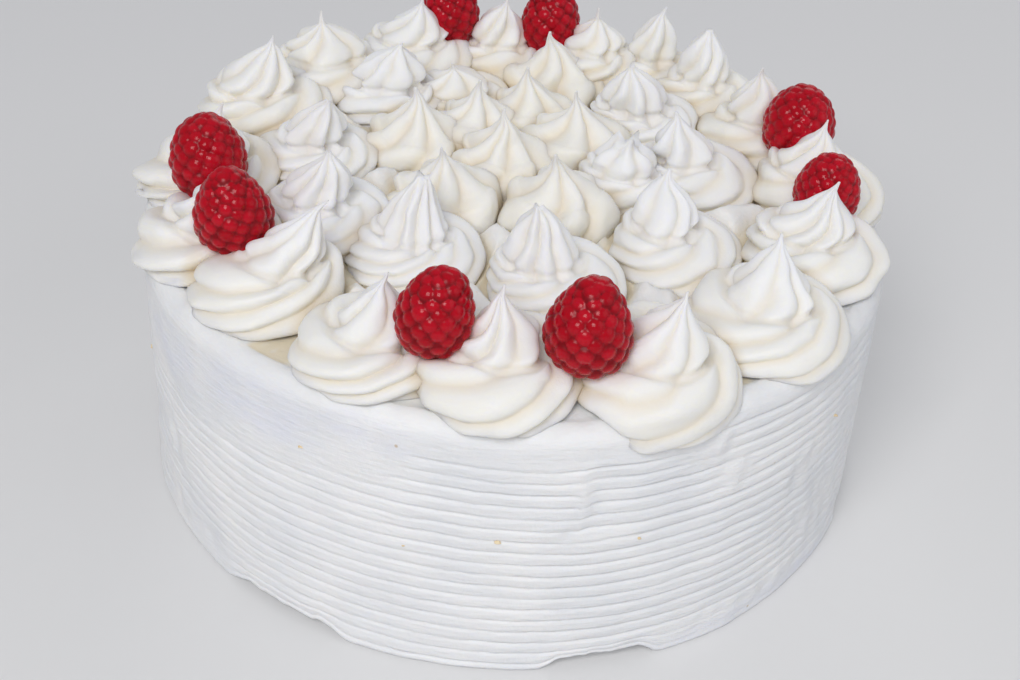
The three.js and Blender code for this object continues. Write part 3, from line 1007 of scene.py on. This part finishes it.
def piped_cream(group):
    """Warm white cream, painted cooler as if lit towards its tips, with yellower painted shade in its
    creases and tan painted shade where swirls press together, and stained by berries that touch it.
    """
    material, tree, shader = new_material("piped_cream")
    mottle, grain = textured(tree, group, 80.0, 1100.0)
    # Painted light and shade: cool and lit-looking at the tips, warm as shade towards the foot, with tone
    # differing from swirl to swirl
    colour = mixed(tree, carried(tree, "tone_and_shade"), CREAM_COOL_LIT, CREAM_WARM_SHADE)
    colour = mixed(tree, ranged(tree, mottle, (0.45, 0.75), (0.0, 0.3)), colour, CREAM_MOTTLE)
    # Painted shade in the creases
    crease = ranged(tree, carried(tree, "crease_shade"), (0.2, 0.75), (0.0, 0.6))
    colour = mixed(tree, crease, colour, CREAM_CREASE_SHADE)
    # Painted shade where the swirl presses against another swirl
    touch = ranged(tree, carried(tree, "contact_shade"), (0.2, 1.0), (0.0, 0.7))
    colour = mixed(tree, touch, colour, CREAM_CONTACT_SHADE)
    stain = ranged(tree, carried(tree, "juice"), (0.3, 1.0), (0.0, 0.45))
    colour = mixed(tree, stain, colour, CREAM_JUICE)
    tree.links.new(colour, shader.inputs["Base Color"])
    tree.links.new(ranged(tree, grain, (0.3, 0.7), (0.52, 0.68)), shader.inputs["Roughness"])
    set_inputs(shader, {
        "Specular IOR Level": 0.35,
        "Subsurface Weight": 0.5, "Subsurface Radius": (1.0, 0.93, 0.6), "Subsurface Scale": 0.007,
    })
    raised(tree, shader, grain, 0.0002, 0.4)
    return material


def berry_skin():
    """Deep red, juicy beads, with painted shade darker in the creases between them."""
    material, tree, shader = new_material("berry_skin")
    colour = mixed(tree, carried(tree, "shade"), BERRY_DEEP, BERRY_BRIGHT)
    # Painted shade darkens the creases between the beads; the same rise of each bead sets its roughness
    bead_rise = ranged(tree, carried(tree, "swell"), (0.76, 0.95))
    colour = mixed(tree, bead_rise, BERRY_CREASE_SHADE, colour)
    tree.links.new(colour, shader.inputs["Base Color"])
    tree.links.new(ranged(tree, bead_rise, (0.0, 1.0), (0.4, 0.12)), shader.inputs["Roughness"])
    set_inputs(shader, {
        "Specular IOR Level": 0.18,
        "Subsurface Weight": 0.3, "Subsurface Radius": (1.0, 0.12, 0.1), "Subsurface Scale": 0.002,
    })
    return material


def sponge_crumb(group):
    """Pale yellow sponge, browner in places."""
    material, tree, shader = new_material("sponge_crumb")
    mottle, grain = textured(tree, group, 500.0, 3000.0)
    colour = mixed(tree, ranged(tree, mottle, (0.35, 0.65)), CRUMB_BROWN, CRUMB_PALE)
    tree.links.new(colour, shader.inputs["Base Color"])
    tree.links.new(ranged(tree, grain, (0.3, 0.7), (0.6, 0.8)), shader.inputs["Roughness"])
    return material


def floor_paint():
    """Plain pale paint, faintly uneven."""
    material, tree, shader = new_material("pale_floor")
    cloud = add(tree, "TexNoise")
    set_inputs(cloud, {"Scale": 6.0})
    colour = mixed(tree, ranged(tree, cloud.outputs["Fac"], (0.3, 0.7)), FLOOR_COOL, FLOOR_PALE)
    tree.links.new(colour, shader.inputs["Base Color"])
    set_inputs(shader, {"Roughness": 0.7})
    return material


# Floor, light and camera

def pale_floor(material):
    """Plain floor under the cake."""
    bm = bmesh.new()
    bmesh.ops.create_grid(bm, x_segments=2, y_segments=2, size=FLOOR_SIZE)
    floor = added("floor", as_mesh(bm, "floor"), material)


def soft_light(name, place, size, power, colour):
    """A square area light that faces the cake."""
    data = bpy.data.lights.new(name, "AREA")
    data.size = size
    data.energy = power
    data.color = colour
    light = bpy.data.objects.new(name, data)
    bpy.context.scene.collection.objects.link(light)
    light.location = place
    aim = Vector((0, 0, CAKE_HEIGHT * MM)) - Vector(place)
    light.rotation_euler = aim.to_track_quat("-Z", "Y").to_euler()


def studio():
    """Soft light from the front left, weaker ones from the right and behind, and a pale sky."""
    for name, settings in LIGHTS.items():
        soft_light(name, *settings)
    world = bpy.data.worlds.new("pale_sky")
    world.use_nodes = True
    set_inputs(world.node_tree.nodes["Background"], {"Color": SKY_COLOUR, "Strength": SKY_STRENGTH})
    bpy.context.scene.world = world
    bpy.context.scene.view_settings.view_transform = "Standard"


def photo_camera():
    """Camera at the photograph's place, looking down at the cake and rolled a little."""
    data = bpy.data.cameras.new("photo_camera")
    data.sensor_width = CAMERA_SENSOR
    data.lens = CAMERA_LENS
    data.clip_start = CAMERA_NEAR
    camera = bpy.data.objects.new("photo_camera", data)
    bpy.context.scene.collection.objects.link(camera)
    look = Matrix.Rotation(math.radians(90 - CAMERA_PITCH), 4, "X")
    roll = Matrix.Rotation(math.radians(CAMERA_ROLL), 4, "Z")
    camera.matrix_world = Matrix.Translation(CAMERA_PLACE) @ look @ roll
    bpy.context.scene.camera = camera


texture = cream_texture()
iced_cake(side_icing(texture))
crumbs(sponge_crumb(texture))
all_swirls(piped_cream(texture))
all_berries(berry_skin())
pale_floor(floor_paint())
studio()
photo_camera()
